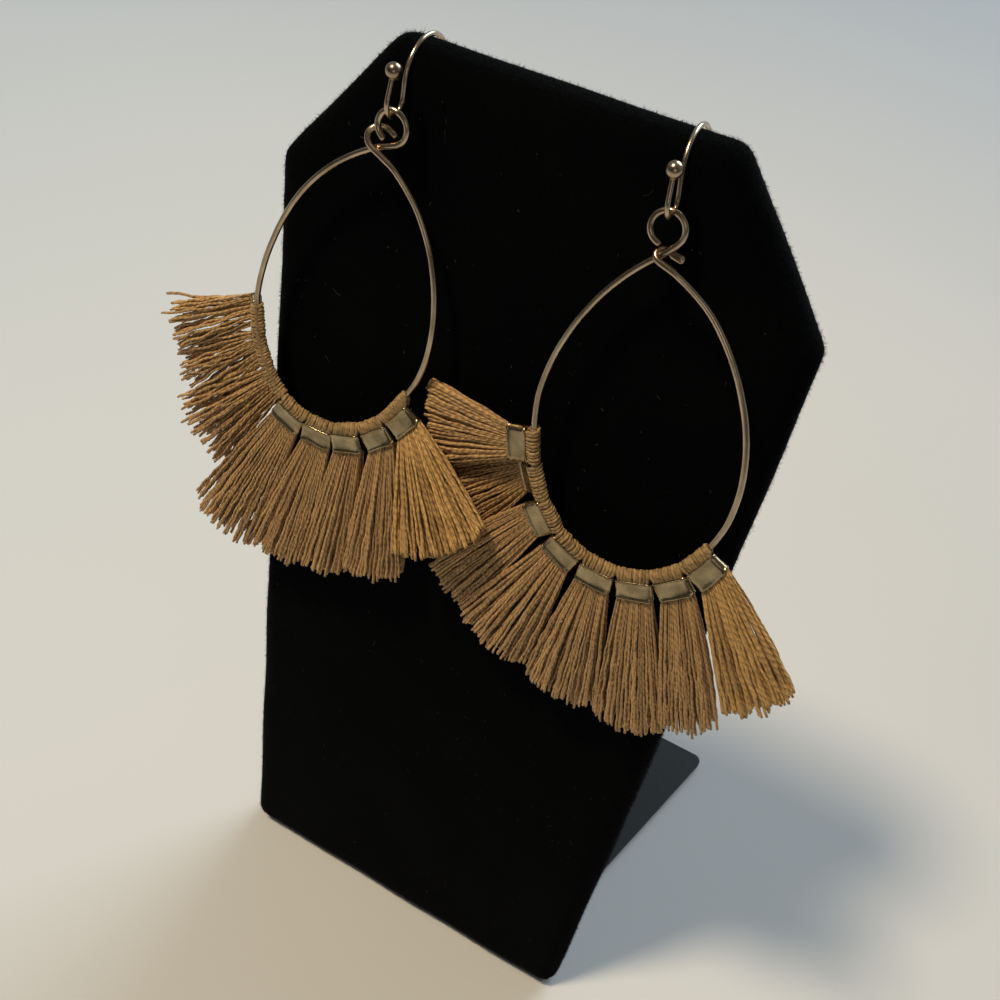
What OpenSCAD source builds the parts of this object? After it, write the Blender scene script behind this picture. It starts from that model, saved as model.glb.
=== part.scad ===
// A pair of tassel hoop earrings hooked over the top of a leaning velvet display stand.
// Millimetres, +Z up. The stand faces -Y and its foot lies on the floor at Z = 0.
// The origin is on the floor, in the middle of the whole object seen from above.
// Most pieces are drawn on the stand's face: x to the right of its middle, y up its slope
// from its lower edge, z out from the velvet.

/* [Stand board] */
// Width of the velvet face
stand_w = 70.4; // [62:0.1:80]
// Height of the velvet face, measured up its slope
stand_h = 161; // [150:0.1:180]
// Thickness of the padded board
stand_t = 7; // [6.8:0.1:9]
// Width that each cut top corner takes off the top edge
corner_w = 14.6; // [8:0.1:16]
// Height that each cut top corner takes off the side
corner_h = 18.1; // [10:0.1:25]
// Rounding of the padded edges
edge_r = 3.3; // [2.8:0.1:3.4]
// Rounding of the outline's corners
outline_r = 3.4; // [3:0.1:6]
// Lean of the face back from upright, in degrees
lean = 15; // [8:0.5:20]

/* [Stand foot] */
// Thickness of the bent sheet
foot_t = 1.2; // [0.8:0.1:2]
// Distance from the board's back to the foot's rear edge
foot_depth = 53; // [44:0.5:64]
// Width of the foot and its tab at the board
foot_front_w = 58.2; // [44:0.1:64]
// Width of the foot at its rear edge
foot_rear_w = 86.2; // [66:0.1:92]
// Rounding of the foot's rear corners
foot_corner_r = 1.5; // [1:0.5:6]
// Height of the tab behind the board, measured up its slope
foot_tab_h = 46; // [25:1:70]
// Outer radius of the bend between tab and foot
foot_bend_r = 2.6; // [2.2:0.1:5]
// Glue gap between the tab and the board
glue_gap = 0.1; // [0.05:0.05:0.3]

/* [Ear wire] */
// Thickness of the ear wire
hook_wire = 0.6; // [0.5:0.05:0.75]
// Distance of the ear wires from the stand's middle, one a little more and one a little less
hook_reach = 16.8; // [16.4:0.1:18]
// Centre-line radius of the small bend that holds the hoop's eye
bend_r = 1.7; // [1.4:0.05:1.9]
// Straight shank between the small bend and the arch
hook_shank = 1.6; // [0.6:0.1:3]
// Length of the short front leg
hook_leg = 3.15; // [2:0.05:5]
// Lean of the front leg back towards the shank, in degrees
leg_lean = 14; // [0:1:20]
// Diameter of the ball on the front leg
ball_d = 1.9; // [1.5:0.1:2.4]
// Length of the straight end behind the stand
tail_l = 14; // [8:0.5:18]
// Lean of the straight end away from the stand's back, in degrees
tail_lean = 25; // [15:1:35]
// Clearance between the ear wire and the velvet in front and on top
velvet_gap = 0.2; // [0.1:0.05:0.5]
// Clearance between the arch and the back of the board
arch_gap = 1.45; // [0.8:0.05:2.4]

/* [Hoop] */
// Thickness of the hoop's wire
hoop_wire = 0.8; // [0.7:0.05:0.9]
// Radius of the drop's round bottom
drop_r = 11.7; // [11:0.1:12.4]
// Height of the crossing above the centre of the round bottom
drop_h = 30; // [28:0.1:33]
// Angle below level at which the round bottom turns into the long sides
drop_turn = 23.4; // [18:0.2:28]
// Radius of the eye
eye_r = 2.05; // [1.9:0.05:2.4]
// Straight wire between the crossing and the eye
eye_neck = 1.55; // [1.4:0.05:2.4]
// Clearance where wires cross or link
link_gap = 0.08; // [0.05:0.01:0.15]

/* [Thread wrap] */
// Thickness of the thread-wrapped stretch
wrap_d = 1.85; // [1.7:0.05:2.1]
// Clearance between the wrap and the wire in it
wrap_gap = 0.05; // [0.03:0.01:0.1]
// Depth of the notches between the bunches of turns
wrap_notch = 0.25; // [0.1:0.05:0.35]

/* [Clamps] */
// Distance between neighbouring clamps, measured along the line through their middles
pitch = 5.45; // [5.3:0.05:5.6]
// Width of a clamp along the wire
clamp_w = 4.4; // [4:0.05:4.5]
// Height of a clamp
clamp_h = 2.4; // [2:0.1:3]
// Thickness of a clamp through its rims
clamp_d = 2.6; // [2.3:0.1:2.8]
// Wall of a clamp at its rims
clamp_wall = 0.4; // [0.3:0.05:0.5]
// Rounding of a clamp's long edges
clamp_r = 0.7; // [0.3:0.05:0.8]
// Share of a clamp's height that lies between its rims
rim_share = 0.9; // [0.7:0.05:1]
// How far a clamp's broad sides dip between its rims
clamp_dip = 0.16; // [0.08:0.02:0.2]
// Clearance between clamp, wrap and tassel
clamp_gap = 0.1; // [0.05:0.01:0.15]

/* [Tassels] */
// Length of a tassel's threads below its clamp
tassel_l = 23; // [21:0.5:24]
// Thickness of a tassel near its tips
tassel_t = 4.2; // [3:0.1:4.6]
// How far a raised tassel's tips stand off the others
tassel_lift = 4; // [3.6:0.1:5]
// Depth of the cuts between the locks at the tips
lock_cut = 2.6; // [1:0.1:4]
// Clearance between the tassels and the velvet
rest_gap = 0.4; // [0.2:0.05:0.6]

/* [Hidden] */
$fn = 48;

velvet_black = "#131116";
foot_grey = "#2c3330";
wire_gold = "#8f6f4e";
clamp_gold = "#9a8358";
thread_tan = "#b78a55";
wrap_tan = "#a5804f";

tassels = 8;
locks = 5;
wire_sides = 8;
wrap_sides = 8;

// Each earring: its place as a share of the reach, less than 0 to the left, the lean of its ear
// wire, the lean of its hoop and the tip of the hoop's bottom off the velvet, in degrees, and
// how many pitches its first clamp lies from the hoop's lowest point.
PLACE = 0;
HOOK_LEAN = 1;
DROP_LEAN = 2;
DROP_TIP = 3;
FIRST = 4;
LEFT = [-1.06, 0, -9.6, 1.5, -3.58];
RIGHT = [0.94, 8.6, 8.9, 3.2, -4.49];

// Each tassel, first to eighth: how its left and right edge hang, in degrees from straight
// down, the shares of the full length, of the lift and of the thickness, and how far its clamp
// is rolled back about the wire, in degrees.
HANG_A = 0;
HANG_B = 1;
LENGTH = 2;
LIFT = 3;
THICK = 4;
ROLL = 5;
fans_left = [
    [-62, -55, 0.76, -0.55, 1, 30],
    [-54, -43, 0.72, -0.5, 1, 15],
    [-48, -33, 0.81, -0.22, 1, 12],
    [-29, -16, 1.18, 0.22, 1, 0],
    [-20, -8, 1.08, 0.18, 1, 0],
    [-11, -1, 1.04, 0.18, 1, 0],
    [-4, 11, 1.01, 0.2, 1, 0],
    [16, 59, 0.76, 1.18, 0.8, 0]];
fans_right = [
    [-90, -56, 0.53, 0.06, 0.5, 4],
    [-56, -28, 0.61, 0.02, 0.36, 38],
    [-37, -23, 0.96, 0.03, 0.75, 6],
    [-25, -4, 0.98, 0.12, 1, 0],
    [-7, 12, 1.01, 0.2, 1, 0],
    [8, 18, 1.04, 0.25, 1, 0],
    [15, 25, 1.01, 0.25, 1, 0],
    [23, 47, 0.87, 0.28, 1, 0]];

function fan(side, i) = (side == LEFT ? fans_left : fans_right)[i - 1];
function unit(v) = v / norm(v);
function ease(t) = t * t * (3 - 2 * t);
function in_space(p, out) = [p.x, p.y, out];
function flat(p) = [p.x, p.y];
function turned(p, a) = [p.x * cos(a) - p.y * sin(a), p.x * sin(a) + p.y * cos(a)];

// The stand's place on the floor; a hair is the least flat between two roundings
hair = 0.05;
edge = min(edge_r, stand_t / 2 - hair);
corner_r = max(outline_r, edge + hair);
board_lift = edge * (1 - cos(lean)) + (stand_t - edge) * sin(lean);
foot_start = stand_t / cos(lean) - board_lift * tan(lean);
front_y = edge * (sin(lean) + cos(lean) - 1);
rear_y = foot_start + foot_depth;

// Places on the ear wire's own plane: distance out from the velvet and height up the face
shank_out = velvet_gap + hook_wire / 2;
arch_r = (stand_t + hook_wire + velvet_gap + arch_gap) / 2;
arch_out = shank_out - arch_r;
arch_room = arch_r - hook_wire / 2 - edge;
arch_off = abs(arch_out + edge);
arch_drop = arch_room > arch_off ? sqrt(arch_room ^ 2 - arch_off ^ 2) : arch_room - arch_off;
arch_up = max(stand_h - edge - arch_drop, stand_h + hook_wire / 2 - arch_r) + velvet_gap / 2;
hoop_out = shank_out + bend_r;

// The drop's shape, in its own frame with the centre of the round bottom at the origin
side_d = (drop_h ^ 2 - drop_r ^ 2) / (2 * (drop_r + drop_h * sin(drop_turn)));
side_r = side_d + drop_r;
cross_a = atan2(drop_h - side_d * sin(drop_turn), side_d * cos(drop_turn));
neck_a = 90 - cross_a;
neck_r = hoop_wire + link_gap;
neck_lift_l = 9;
along = [cos(neck_a), sin(neck_a)];
across = [-sin(neck_a), cos(neck_a)];
cross_at = [0, drop_h];
eye_at = cross_at + eye_neck * along + eye_r * across;
eye_hang = eye_r - (hook_wire + hoop_wire) / 2 - link_gap;

wrap_r = wrap_d / 2;
clamp_off = wrap_r + clamp_gap + clamp_h / 2;
round_line = drop_r + clamp_off;
side_line = side_r + clamp_off;
round_half = round_line * (90 - drop_turn) * PI / 180;
root_off = wrap_r + 2 * clamp_gap + clamp_h;
head_w = clamp_w - 2 * clamp_wall - 2 * clamp_gap;
head_t = clamp_d - 2 * clamp_wall - 2 * clamp_gap;

// A place on the drop, by its distance along the clamps' line from the lowest point: the angle of
// the way out there, and the point on the wire
function drop_a(s) = abs(s) <= round_half ? s / round_line * 180 / PI - 90
    : s > 0 ? (s - round_half) / side_line * 180 / PI - drop_turn
    : (s + round_half) / side_line * 180 / PI + drop_turn - 180;
function drop_on(a) = abs(a + 90) <= 90 - drop_turn ? drop_r * [cos(a), sin(a)]
    : side_r * [cos(a), sin(a)] + side_d * [a > -90 ? -cos(drop_turn) : cos(drop_turn), sin(drop_turn)];
function drop_at(s) = drop_on(drop_a(s));
function wire_s(side, i) = (side[FIRST] + i - 1) * pitch;

// An ear wire leans about the middle of its arch, and the hoop's eye hangs straight down in it
function hook_at(side) = [side[PLACE] * hook_reach, arch_up + arch_r * (1 - cos(side[HOOK_LEAN]))];
function eye_place(side) = hook_at(side) - [0, eye_hang]
    + turned([0, -hook_shank - bend_r], side[HOOK_LEAN]);

// From the drop's own flat frame to the stand's face
function to_face(side, p) = let (q = turned(p - eye_at, side[DROP_LEAN]), e = eye_place(side))
    [e.x + q.x, e.y + q.y * cos(side[DROP_TIP]), hoop_out - q.y * sin(side[DROP_TIP])];

// A tassel's ways on its hoop: along the wire, out from it, and off the broad side of its clamp
function roll(side, i) = fan(side, i)[ROLL];
function tassel_a(side, i) = drop_a(wire_s(side, i));
function way_on(side, i) = let (a = tassel_a(side, i)) [-sin(a), cos(a), 0];
function way_out(side, i) = let (a = tassel_a(side, i), r = roll(side, i))
    [cos(r) * cos(a), cos(r) * sin(a), -sin(r)];
function way_off(side, i) = let (a = tassel_a(side, i), r = roll(side, i))
    [sin(r) * cos(a), sin(r) * sin(a), cos(r)];

// Where a thread of a tassel starts and ends; v runs from 0 at the left edge to 1 at the right
function root_at(side, i, v) = in_space(drop_at(wire_s(side, i)), 0) + root_off * way_out(side, i)
    + (v - 0.5) * head_w * way_on(side, i);
function hang_at(side, i, v) = fan(side, i)[HANG_A] * (1 - v) + fan(side, i)[HANG_B] * v;
function hang_way(side, i, v) = let (h = hang_at(side, i, v) - side[DROP_LEAN]) [sin(h), -cos(h)];
function fan_l(side, i) = tassel_l * fan(side, i)[LENGTH];
function fan_t(side, i) = tassel_t * fan(side, i)[THICK];

// How far out of the hoop's plane a fan's tips lie, for them to rest on the velvet or off it
function tip_off(side, i) = let (
    rest = rest_gap + fan_t(side, i) / 2 + tassel_lift * fan(side, i)[LIFT],
    tip = flat(root_at(side, i, 0.5)) + fan_l(side, i) * hang_way(side, i, 0.5))
    (rest - to_face(side, tip).z) / cos(side[DROP_TIP]);

// A fan is five locks with grooves between them, its columns numbered across it from one side's
// groove to the other's. The threads leave along the clamp for the share bow of their length, and
// the locks' lengths differ by the share uneven
bow = 0.3;
uneven = 0.05;
LOCK_TURN = 137;
TASSEL_TURN = 71;

function in_groove(k) = k % 2 == 0;
function ragged(i, k) = 1 - uneven * abs(sin(LOCK_TURN * k + TASSEL_TURN * i));
function fan_point(side, i, k, t) = let (
    v = k / (2 * locks),
    cut = fan_l(side, i) - (in_groove(k) ? lock_cut * min(1, fan(side, i)[LENGTH]) : 0),
    reach = cut * ragged(i, k),
    root = flat(root_at(side, i, v)),
    mid = root + bow * reach * flat(way_out(side, i)),
    tip = root + reach * hang_way(side, i, v))
    in_space((1 - t) ^ 2 * root + 2 * t * (1 - t) * mid + t ^ 2 * tip,
        root_at(side, i, v).z * (1 - t) + tip_off(side, i) * t);

// The row's middle, taken from what reaches furthest to each side
side_xs = concat([-foot_rear_w / 2, foot_rear_w / 2],
    [for (side = [LEFT, RIGHT], i = [1:tassels], k = [0:2 * locks])
        to_face(side, flat(fan_point(side, i, k, 1))).x]);
middle_x = (min(side_xs) + max(side_xs)) / 2;
middle_y = (front_y + rear_y) / 2;

// Surfaces skinned from rings of points, each ring turning right-handed about the way on,
// and closed at both ends by a strip between the two halves of its ring
function split(a, b, c, d) = [[a, b, c], [a, c, d]];
function cap(first, n) = [for (j = [0:n / 2 - 2], f = split(
    first + j, first + j + 1, first + n - 2 - j, first + n - 1 - j)) f];
function skin_sides(rings, n) = [for (i = [0:rings - 2], j = [0:n - 1], f = split(
    i * n + j, (i + 1) * n + j, (i + 1) * n + (j + 1) % n, i * n + (j + 1) % n)) f];
function reversed(faces) = [for (f = faces) [f[2], f[1], f[0]]];
function skin_faces(rings, n) = concat(
    cap(0, n), skin_sides(rings, n), reversed(cap((rings - 1) * n, n)));

module skin(rings) {
    polyhedron(points = [for (r = rings, p = r) p], faces = skin_faces(len(rings), len(rings[0])));
}

// A round bar along a route in space, its rings carried on without twist
function carried(n, t) = unit(n - (n * t) * t);
module wire_along(route, r, start) {
    last = len(route) - 1;
    ways = [for (i = [0:last]) unit(route[min(i + 1, last)] - route[max(i - 1, 0)])];
    normals = [for (i = 0, n = carried(start, ways[0]); i <= last;
        i = i + 1, n = carried(n, ways[min(i, last)])) n];
    skin([for (i = [0:last]) let (n = normals[i], b = cross(ways[i], n))
        [for (j = [0:wire_sides - 1]) let (a = j * 360 / wire_sides)
            route[i] + r * (cos(a) * n + sin(a) * b)]]);
}

module on_floor() {
    translate([-middle_x, -middle_y, 0]) children();
}

module on_face() {
    on_floor() translate([0, 0, board_lift]) rotate([90 - lean, 0, 0]) children();
}

module on_hook(side) {
    at = hook_at(side);
    on_face() translate([at.x, at.y, 0]) rotate([0, 0, side[HOOK_LEAN]]) children();
}

module on_drop(side) {
    at = eye_place(side);
    on_face() translate([at.x, at.y, hoop_out]) rotate([-side[DROP_TIP], 0, 0])
        rotate([0, 0, side[DROP_LEAN]]) translate([-eye_at.x, -eye_at.y, 0]) children();
}

// The padded board: one outline drawn in by the rounding of its edges
outline = [
    [stand_w / 2, 0], [stand_w / 2, stand_h - corner_h], [stand_w / 2 - corner_w, stand_h],
    [corner_w - stand_w / 2, stand_h], [-stand_w / 2, stand_h - corner_h], [-stand_w / 2, 0]];
corner_steps = 4;
edge_steps = 4;

function corner_arc(i, inset) = let (
    p = outline[i],
    before = unit(p - outline[(i + 5) % 6]),
    after = unit(outline[(i + 1) % 6] - p),
    a0 = atan2(before.y, before.x) - 90,
    bend = acos(before * after),
    centre = p - corner_r * [cos(a0), sin(a0)] - corner_r * tan(bend / 2) * before)
    [for (k = [0:corner_steps]) let (a = a0 + bend * k / corner_steps)
        centre + (corner_r - inset) * [cos(a), sin(a)]];
function outline_ring(inset, out) = [for (i = [0:5], p = corner_arc(i, inset)) [p.x, p.y, out]];

module stand_board() {
    color(velvet_black) on_face() skin(concat(
        [for (k = [0:edge_steps]) let (a = 90 * k / edge_steps)
            outline_ring(edge * (1 - sin(a)), edge * (1 - cos(a)) - stand_t)],
        [for (k = [0:edge_steps]) let (a = 90 - 90 * k / edge_steps)
            outline_ring(edge * (1 - sin(a)), edge * (cos(a) - 1))]));
}

// The foot: one sheet bent under the board. Its tab has straight sides and its foot flares
bend_steps = 6;
foot_steps = 6;
foot_margin = 2;

function bend_arc(centre, r) = [for (k = [0:bend_steps])
    let (a = 180 - lean + (90 + lean) * k / bend_steps) centre + r * [cos(a), sin(a)]];

module foot_profile() {
    up = [sin(lean), cos(lean)];
    away = [cos(lean), -sin(lean)];
    toe = [foot_start + glue_gap / cos(lean), 0];
    centre = [toe.x + foot_bend_r * (1 + sin(lean)) / cos(lean), foot_bend_r];
    inner = bend_arc(centre, foot_bend_r - foot_t);
    polygon(concat(
        [toe + foot_tab_h * up],
        bend_arc(centre, foot_bend_r),
        [[rear_y, 0], [rear_y, foot_t]],
        [for (k = [bend_steps:-1:0]) inner[k]],
        [toe + foot_tab_h * up + foot_t * away]));
}

module foot_plan() {
    front = foot_front_w / 2;
    rear = foot_rear_w / 2;
    flare_a = atan2(rear - front, foot_depth);
    centre = [rear - foot_corner_r * (1 + sin(flare_a)) / cos(flare_a), rear_y - foot_corner_r];
    half = concat([[front, 0], [front, foot_start]],
        [for (k = [0:foot_steps]) let (a = -flare_a + (90 + flare_a) * k / foot_steps)
            centre + foot_corner_r * [cos(a), sin(a)]]);
    polygon(concat(half, [for (k = [len(half) - 1:-1:0]) [-half[k].x, half[k].y]]));
}

module stand_foot() {
    tab_end = foot_start + foot_tab_h * sin(lean) + foot_margin;
    color(foot_grey) on_floor() intersection() {
        rotate([90, 0, 90]) translate([0, 0, -foot_rear_w / 2])
            linear_extrude(foot_rear_w) foot_profile();
        union() {
            translate([0, 0, -foot_margin]) linear_extrude(foot_margin + foot_bend_r) foot_plan();
            translate([-foot_front_w / 2, 0, -foot_margin])
                cube([foot_front_w, tab_end, foot_tab_h + 2 * foot_margin]);
        }
    }
}

// The ear wire, drawn with x out from the velvet and y up from the middle of the arch. The bent
// stretch is a bar with flats just outside the wire, and the straight tail is round and starts inside it
hook_steps = 10;
tail_seat = 1;
bar_cover = 0.02;
bar_r = hook_wire / 2 / cos(180 / wire_sides) + bar_cover;

function arc_route(centre, r, from, sweep) = [for (k = [0:hook_steps])
    let (a = from + sweep * k / hook_steps) in_space(centre + r * [cos(a), sin(a)], 0)];

module ear_hook(side) {
    bend_at = [hoop_out, -hook_shank];
    arch_at = [arch_out, 0];
    leg_top = bend_at + bend_r * [cos(leg_lean), sin(leg_lean)]
        + hook_leg * [-sin(leg_lean), cos(leg_lean)];
    tail_top = arch_at + arch_r * [-cos(tail_lean), sin(tail_lean)];
    tail_way = [-sin(tail_lean), -cos(tail_lean)];
    route = concat(
        [in_space(leg_top, 0)],
        arc_route(bend_at, bend_r, leg_lean, -180 - leg_lean),
        arc_route(arch_at, arch_r, 0, 180 - tail_lean),
        [in_space(tail_top + tail_seat * tail_way, 0)]);
    color(wire_gold) on_hook(side) rotate([0, -90, 0]) union() {
        wire_along(route, bar_r, [0, 0, 1]);
        translate(leg_top) sphere(d = ball_d);
        translate(tail_top + tail_seat / 2 * tail_way) rotate([0, 0, 270 - tail_lean]) rotate([0, 90, 0])
            cylinder(h = tail_l - tail_seat / 2, d = hook_wire);
    }
}

// The hoop: one wire from its stub, round the neck, down the right, round the bottom, up the
// left, behind the crossing and round the eye
side_steps = 14;
round_steps = 13;
eye_steps = 11;
neck_steps = 9;
neck_turn = 255;
eye_turn = 268;

// The turn round the neck and the stub after it, in thicknesses of wire or of the neck's radius
neck_climb = 1.5;
stub_reach = 1.1;
stub_climb = 3;
stub_out = 0.4;

function neck_at(t) = let (a = 90 - neck_turn * t)
    in_space(cross_at + neck_r * cos(a) * across + neck_climb * hoop_wire * ease(t) * along, neck_r * sin(a));
function side_lift(a) = neck_r * ease(max(0, 1 - (cross_a - a) * PI / 180 * side_r / neck_lift_l));
hoop_route = concat(
    [in_space(cross_at - stub_reach * neck_r * across + stub_climb * hoop_wire * along, stub_out * neck_r)],
    [for (k = [neck_steps:-1:0]) neck_at(k / neck_steps)],
    [for (k = [1:side_steps]) let (a = cross_a - (cross_a + drop_turn) * k / side_steps)
        in_space(drop_on(a), side_lift(a))],
    [for (k = [1:round_steps - 1]) let (a = -drop_turn - (180 - 2 * drop_turn) * k / round_steps)
        in_space(drop_on(a), 0)],
    [for (k = [0:side_steps]) let (a = drop_turn - 180 - (cross_a + drop_turn) * k / side_steps)
        in_space(drop_on(a), 0)],
    [for (k = [0:eye_steps]) let (a = neck_a - 90 + eye_turn * k / eye_steps)
        in_space(eye_at + eye_r * [cos(a), sin(a)], 0)]);

module hoop(side) {
    color(wire_gold) on_drop(side) wire_along(hoop_route, hoop_wire / 2, [0, 0, 1]);
}

// The wrap: a hollow sleeve of thread bunches, one bunch to a tassel. Each bunch has rings at
// these shares of the pitch, drawn in by these shares of the notch
bunch = [0.02, 0.14, 0.38, 0.62, 0.86, 0.98];
drawn_in = [1, 0.2, 0, 0, 0.2, 1];
bore_r = (hoop_wire / 2 + wrap_gap) / cos(180 / wrap_sides);

function sleeve_ring(s, r) = let (a = drop_a(s), p = drop_at(s))
    [for (j = [0:wrap_sides - 1]) let (b = j * 360 / wrap_sides)
        in_space(p + r * sin(b) * [cos(a), sin(a)], r * cos(b))];

module wrap(side) {
    places = [for (i = [1:tassels], k = [0:len(bunch) - 1])
        [wire_s(side, i) + (bunch[k] - 0.5) * pitch, wrap_r - drawn_in[k] * wrap_notch]];
    rings = [for (p = places) sleeve_ring(p[0], p[1])];
    bores = [for (p = places) sleeve_ring(p[0], bore_r)];
    n = len(places) * wrap_sides;
    last = n - wrap_sides;
    sides = skin_sides(len(places), wrap_sides);
    ends = [for (j = [0:wrap_sides - 1], k = [(j + 1) % wrap_sides], f = concat(
        split(j, k, n + k, n + j), split(last + k, last + j, n + last + j, n + last + k))) f];
    color(wrap_tan) on_drop(side) polyhedron(
        points = [for (r = concat(rings, bores), p = r) p],
        faces = concat(sides, reversed([for (f = sides) [n + f[0], n + f[1], n + f[2]]]), ends));
}

// A clamp: a folded band round the tassel's neck, its broad sides dipped between the rims
module at_tassel(side, i, off) {
    p = drop_at(wire_s(side, i));
    on_drop(side) translate([p.x, p.y, 0]) rotate([0, 0, tassel_a(side, i) + 90])
        rotate([roll(side, i), 0, 0]) translate([0, -off, 0]) children();
}

module clamp(side, i) {
    dip_w = rim_share * clamp_h;
    dip_r = (dip_w ^ 2 / 4 + clamp_dip ^ 2) / (2 * clamp_dip);
    over = clamp_wall;
    color(clamp_gold) at_tassel(side, i, clamp_off) difference() {
        rotate([90, 0, 0]) translate([0, 0, -clamp_h / 2]) linear_extrude(clamp_h) union() {
            square([clamp_w - 2 * clamp_r, clamp_d], center = true);
            square([clamp_w, clamp_d - 2 * clamp_r], center = true);
            for (end = [-1, 1], face = [-1, 1])
                translate([end * (clamp_w / 2 - clamp_r), face * (clamp_d / 2 - clamp_r)])
                    circle(r = clamp_r);
        }
        cube([clamp_w - 2 * clamp_wall, clamp_h + 2 * over, clamp_d - 2 * clamp_wall], center = true);
        for (face = [-1, 1]) translate([0, 0, face * (clamp_d / 2 - clamp_dip + dip_r)])
            rotate([0, 90, 0]) cylinder(r = dip_r, h = clamp_w + 2 * over, center = true);
    }
}

// A tassel: a flat head in its clamp and a fan of locks, all of one skin. Its rings lie at these
// shares of its length and have swelled by these shares of its thickness
stations = [0, 0.3, 0.65, 1];
flare = [0, 0.55, 0.9, 1];

// How much thinner the fan's sides and the grooves between its locks are, each as a share
side_share = 0.45;
groove = 0.35;

function fan_half(side, i, k, f) = let (
    full = head_t * (1 - f) + fan_t(side, i) * f,
    at_side = f > 0 && (k == 0 || k == 2 * locks))
    full / 2 * (in_groove(k) ? 1 - groove * f : 1) * (at_side ? side_share : 1);

// A ring goes over the fan's front from its right edge and back behind it
function fan_ring(points, halves, off) = concat(
    [for (k = [2 * locks:-1:0]) points[k] + halves[k] * off],
    [for (k = [0:2 * locks]) points[k] - halves[k] * off]);

module tassel(side, i) {
    all = [0:2 * locks];
    back = (clamp_h + clamp_gap) * way_out(side, i);
    off = way_off(side, i);
    head = [for (k = all) head_t / 2];
    roots = [for (k = all) root_at(side, i, k / (2 * locks))];
    color(thread_tan) on_drop(side) skin(concat(
        [fan_ring([for (p = roots) p - back], head, off), fan_ring(roots, head, off)],
        [for (s = [1:len(stations) - 1]) fan_ring(
            [for (k = all) fan_point(side, i, k, stations[s])],
            [for (k = all) fan_half(side, i, k, flare[s])], [0, 0, 1])]));
}

stand_board();
stand_foot();
ear_hook(LEFT);  // ear_hook_left
ear_hook(RIGHT);  // ear_hook_right
hoop(LEFT);  // hoop_left
hoop(RIGHT);  // hoop_right
wrap(LEFT);  // wrap_left
wrap(RIGHT);  // wrap_right
for (i = [1:tassels]) {
    clamp(LEFT, i);
    clamp(RIGHT, i);
    tassel(LEFT, i);
    tassel(RIGHT, i);
}
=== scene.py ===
import bpy
import math
import numpy as np
from mathutils import Matrix, Vector


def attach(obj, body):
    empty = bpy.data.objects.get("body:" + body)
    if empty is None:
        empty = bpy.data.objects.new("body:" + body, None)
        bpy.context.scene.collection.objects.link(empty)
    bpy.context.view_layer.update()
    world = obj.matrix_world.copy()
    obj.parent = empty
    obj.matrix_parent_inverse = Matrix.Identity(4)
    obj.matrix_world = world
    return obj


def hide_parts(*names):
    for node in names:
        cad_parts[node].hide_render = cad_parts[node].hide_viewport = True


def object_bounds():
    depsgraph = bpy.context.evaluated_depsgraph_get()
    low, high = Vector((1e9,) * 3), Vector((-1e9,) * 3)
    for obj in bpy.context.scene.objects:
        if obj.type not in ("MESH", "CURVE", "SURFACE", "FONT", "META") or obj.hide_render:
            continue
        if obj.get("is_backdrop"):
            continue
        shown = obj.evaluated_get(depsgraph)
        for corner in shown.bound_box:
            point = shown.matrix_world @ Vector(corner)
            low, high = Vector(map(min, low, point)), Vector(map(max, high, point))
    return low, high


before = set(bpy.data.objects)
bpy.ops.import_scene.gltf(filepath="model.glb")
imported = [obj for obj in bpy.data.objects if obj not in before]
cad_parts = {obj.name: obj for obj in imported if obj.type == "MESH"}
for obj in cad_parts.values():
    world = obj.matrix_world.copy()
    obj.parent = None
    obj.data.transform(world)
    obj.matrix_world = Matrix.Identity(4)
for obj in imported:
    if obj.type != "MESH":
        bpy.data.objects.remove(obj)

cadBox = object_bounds()
seed = 41

# Face places are in mm: x to the right of the stand's middle, y up its slope, z out from the velvet
lean = math.radians(15)
faceTurn = np.array([[1, 0, 0], [0, math.sin(lean), -math.cos(lean)], [0, math.cos(lean), math.sin(lean)]])
faceStart = np.array([2.0149, -30.3509, 1.0701])


def toRow(points):
    return (np.asarray(points, float) @ faceTurn.T + faceStart) / 1000


# Camera, fitted to the stand's edges in the photograph
camera = {
    "place": (41.5615, 194.8939, 103.5604),
    "right": (0.8715823, 0.1687757, -0.4602815),
    "down": (0.4101263, -0.7653916, 0.4959558),
    "ahead": (-0.2685904, -0.6210398, -0.7363212),
    "lens": 37.073,
}
lensData = bpy.data.cameras.new("camera")
lensData.lens = camera["lens"]
lensData.sensor_width = 36
lensData.clip_start = 0.005
cameraObject = bpy.data.objects.new("camera", lensData)
bpy.context.collection.objects.link(cameraObject)
axes = [faceTurn @ np.array(camera["right"]), -faceTurn @ np.array(camera["down"]),
        -faceTurn @ np.array(camera["ahead"])]
eyeRow = toRow(camera["place"])
cameraRows = [[axes[0][r], axes[1][r], axes[2][r], eyeRow[r]] for r in range(3)]
cameraObject.matrix_world = Matrix(cameraRows + [[0, 0, 0, 1]])
bpy.context.scene.camera = cameraObject
print("camera ready")


# Node groups and materials

def newGroup(name, inputs, outputs):
    group = bpy.data.node_groups.new(name, "ShaderNodeTree")
    for label, kind, value in inputs:
        socket = group.interface.new_socket(name=label, in_out="INPUT", socket_type=kind)
        socket.default_value = value
    for label, kind in outputs:
        group.interface.new_socket(name=label, in_out="OUTPUT", socket_type=kind)
    return group, group.nodes.new("NodeGroupInput"), group.nodes.new("NodeGroupOutput")


def addNode(tree, kind, settings=None, links=None):
    node = tree.nodes.new(kind)
    for key, value in (settings or {}).items():
        setattr(node, key, value)
    for key, value in (links or {}).items():
        if isinstance(value, bpy.types.NodeSocket):
            tree.links.new(value, node.inputs[key])
        else:
            node.inputs[key].default_value = value
    return node


def mixColour(tree, factor, first, second):
    node = addNode(tree, "ShaderNodeMix", {"data_type": "RGBA"}, {0: factor, 6: first, 7: second})
    return node.outputs[2]


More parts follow.
